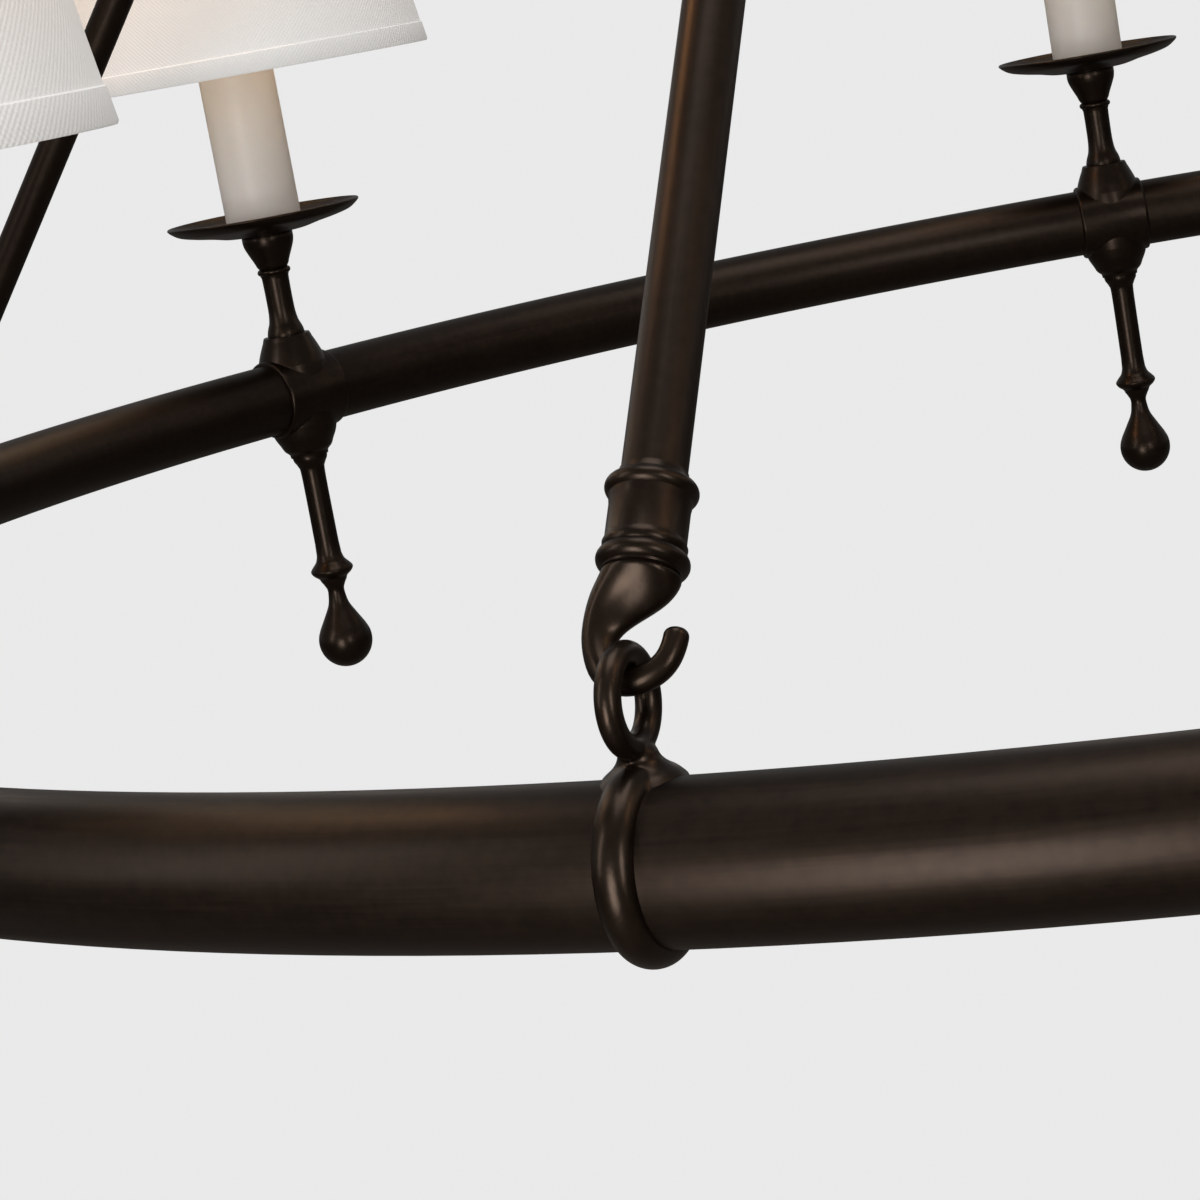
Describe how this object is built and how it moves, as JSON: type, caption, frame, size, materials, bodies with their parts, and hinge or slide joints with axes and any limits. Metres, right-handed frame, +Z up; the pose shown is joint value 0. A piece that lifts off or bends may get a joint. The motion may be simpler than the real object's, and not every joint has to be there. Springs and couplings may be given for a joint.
{
  "type": "ring chandelier",
  "caption": "Hanging ring of bronze tube with turned candle lamps and cone shades, carried from a hub on rods hooked into eyelets, under a short chain and a canopy.",
  "frame": {"origin": "middle of the canopy's rim, on the ceiling", "axes": "+Z up into the ceiling, +X along the crossbar's slots; the chandelier hangs below zero"},
  "size_m": [0.9613, 0.9614, 0.9013],
  "materials": {
    "dark_bronze": "satin dark bronze with a fine brushed grain",
    "plain_steel": "zinc plated",
    "candle_white": "satin off-white",
    "holder_black": "moulded black",
    "bulb_glass": "warm opal glass",
    "shade_linen": "white linen on card",
    "frame_brass": "plated wire"
  },
  "bodies": {
    "ceiling": {"crossbar": "plain_steel", "ceiling_nipple": "plain_steel", "locknut": "plain_steel", "canopy_loop": "dark_bronze"},
    "canopy": {"canopy": "dark_bronze", "collar_ring": "dark_bronze"},
    "link_1": {"chain_link_1": "dark_bronze"},
    "link_2": {"chain_link_2": "dark_bronze"},
    "link_3": {"chain_link_3": "dark_bronze"},
    "link_4": {"chain_link_4": "dark_bronze"},
    "frame": {"ball_finials": "dark_bronze", "candle_sleeves": "candle_white", "columns": "dark_bronze", "drip_pans": "dark_bronze", "eyelet_collar_1": "dark_bronze", "eyelet_collar_2": "dark_bronze", "eyelet_collar_3": "dark_bronze", "eyelet_collar_4": "dark_bronze", "hub": "dark_bronze", "hub_finial": "dark_bronze", "hub_loop": "dark_bronze", "lamp_nipples": "plain_steel", "lampholders": "holder_black", "pan_nuts": "plain_steel", "pendants": "dark_bronze", "ring_tube": "dark_bronze", "rod_1": "dark_bronze", "rod_2": "dark_bronze", "rod_3": "dark_bronze", "rod_4": "dark_bronze", "rod_hook_1": "dark_bronze", "rod_hook_2": "dark_bronze", "rod_hook_3": "dark_bronze", "rod_hook_4": "dark_bronze", "rod_top_ferrules": "dark_bronze", "tube_bosses": "dark_bronze"},
    "shade_1": {"shade_1": "shade_linen", "shade_frame_1": "frame_brass"},
    "shade_2": {"shade_2": "shade_linen", "shade_frame_2": "frame_brass"},
    "shade_3": {"shade_3": "shade_linen", "shade_frame_3": "frame_brass"},
    "shade_4": {"shade_4": "shade_linen", "shade_frame_4": "frame_brass"},
    "shade_5": {"shade_5": "shade_linen", "shade_frame_5": "frame_brass"},
    "shade_6": {"shade_6": "shade_linen", "shade_frame_6": "frame_brass"},
    "shade_7": {"shade_7": "shade_linen", "shade_frame_7": "frame_brass"},
    "shade_8": {"shade_8": "shade_linen", "shade_frame_8": "frame_brass"},
    "bulb_1": {"bulb_1": "bulb_glass"},
    "bulb_2": {"bulb_2": "bulb_glass"},
    "bulb_3": {"bulb_3": "bulb_glass"},
    "bulb_4": {"bulb_4": "bulb_glass"},
    "bulb_5": {"bulb_5": "bulb_glass"},
    "bulb_6": {"bulb_6": "bulb_glass"},
    "bulb_7": {"bulb_7": "bulb_glass"},
    "bulb_8": {"bulb_8": "bulb_glass"}
  },
  "joints": [
    {"name": "canopy_slide", "type": "slide", "parent": "ceiling", "child": "canopy", "axis": [0, 0, -1], "range_m": [0, 0.01]},
    {"name": "link_1_swing", "type": "hinge", "parent": "ceiling", "child": "link_1", "pos_m": [0, 0, -0.0545], "axis": [1, 0, 0], "range_deg": [-15, 15]},
    {"name": "link_2_swing", "type": "hinge", "parent": "link_1", "child": "link_2", "pos_m": [0, 0, -0.08345], "axis": [0, 1, 0], "range_deg": [-15, 15]},
    {"name": "link_3_swing", "type": "hinge", "parent": "link_2", "child": "link_3", "pos_m": [0, 0, -0.11265], "axis": [1, 0, 0], "range_deg": [-15, 15]},
    {"name": "link_4_swing", "type": "hinge", "parent": "link_3", "child": "link_4", "pos_m": [0, 0, -0.14185], "axis": [0, 1, 0], "range_deg": [-15, 15]},
    {"name": "frame_swing", "type": "hinge", "parent": "link_4", "child": "frame", "pos_m": [0, 0, -0.17105], "axis": [1, 0, 0], "range_deg": [-15, 15]},
    {"name": "shade_1_lift", "type": "slide", "parent": "frame", "child": "shade_1", "axis": [0, 0, 1], "range_m": [0, 0.12]},
    {"name": "bulb_1_turn", "type": "hinge", "parent": "frame", "child": "bulb_1", "pos_m": [0.41066, 0.1701, -0.6521], "axis": [0, 0, 1], "range_deg": [0, 1440]},
    {"name": "shade_2_lift", "type": "slide", "parent": "frame", "child": "shade_2", "axis": [0, 0, 1], "range_m": [0, 0.12]},
    {"name": "bulb_2_turn", "type": "hinge", "parent": "frame", "child": "bulb_2", "pos_m": [0.1701, 0.41066, -0.6521], "axis": [0, 0, 1], "range_deg": [0, 1440]},
    {"name": "shade_3_lift", "type": "slide", "parent": "frame", "child": "shade_3", "axis": [0, 0, 1], "range_m": [0, 0.12]},
    {"name": "bulb_3_turn", "type": "hinge", "parent": "frame", "child": "bulb_3", "pos_m": [-0.1701, 0.41066, -0.6521], "axis": [0, 0, 1], "range_deg": [0, 1440]},
    {"name": "shade_4_lift", "type": "slide", "parent": "frame", "child": "shade_4", "axis": [0, 0, 1], "range_m": [0, 0.12]},
    {"name": "bulb_4_turn", "type": "hinge", "parent": "frame", "child": "bulb_4", "pos_m": [-0.41066, 0.1701, -0.6521], "axis": [0, 0, 1], "range_deg": [0, 1440]},
    {"name": "shade_5_lift", "type": "slide", "parent": "frame", "child": "shade_5", "axis": [0, 0, 1], "range_m": [0, 0.12]},
    {"name": "bulb_5_turn", "type": "hinge", "parent": "frame", "child": "bulb_5", "pos_m": [-0.41066, -0.1701, -0.6521], "axis": [0, 0, 1], "range_deg": [0, 1440]},
    {"name": "shade_6_lift", "type": "slide", "parent": "frame", "child": "shade_6", "axis": [0, 0, 1], "range_m": [0, 0.12]},
    {"name": "bulb_6_turn", "type": "hinge", "parent": "frame", "child": "bulb_6", "pos_m": [-0.1701, -0.41066, -0.6521], "axis": [0, 0, 1], "range_deg": [0, 1440]},
    {"name": "shade_7_lift", "type": "slide", "parent": "frame", "child": "shade_7", "axis": [0, 0, 1], "range_m": [0, 0.12]},
    {"name": "bulb_7_turn", "type": "hinge", "parent": "frame", "child": "bulb_7", "pos_m": [0.1701, -0.41066, -0.6521], "axis": [0, 0, 1], "range_deg": [0, 1440]},
    {"name": "shade_8_lift", "type": "slide", "parent": "frame", "child": "shade_8", "axis": [0, 0, 1], "range_m": [0, 0.12]},
    {"name": "bulb_8_turn", "type": "hinge", "parent": "frame", "child": "bulb_8", "pos_m": [0.41066, -0.1701, -0.6521], "axis": [0, 0, 1], "range_deg": [0, 1440]}
  ]
}
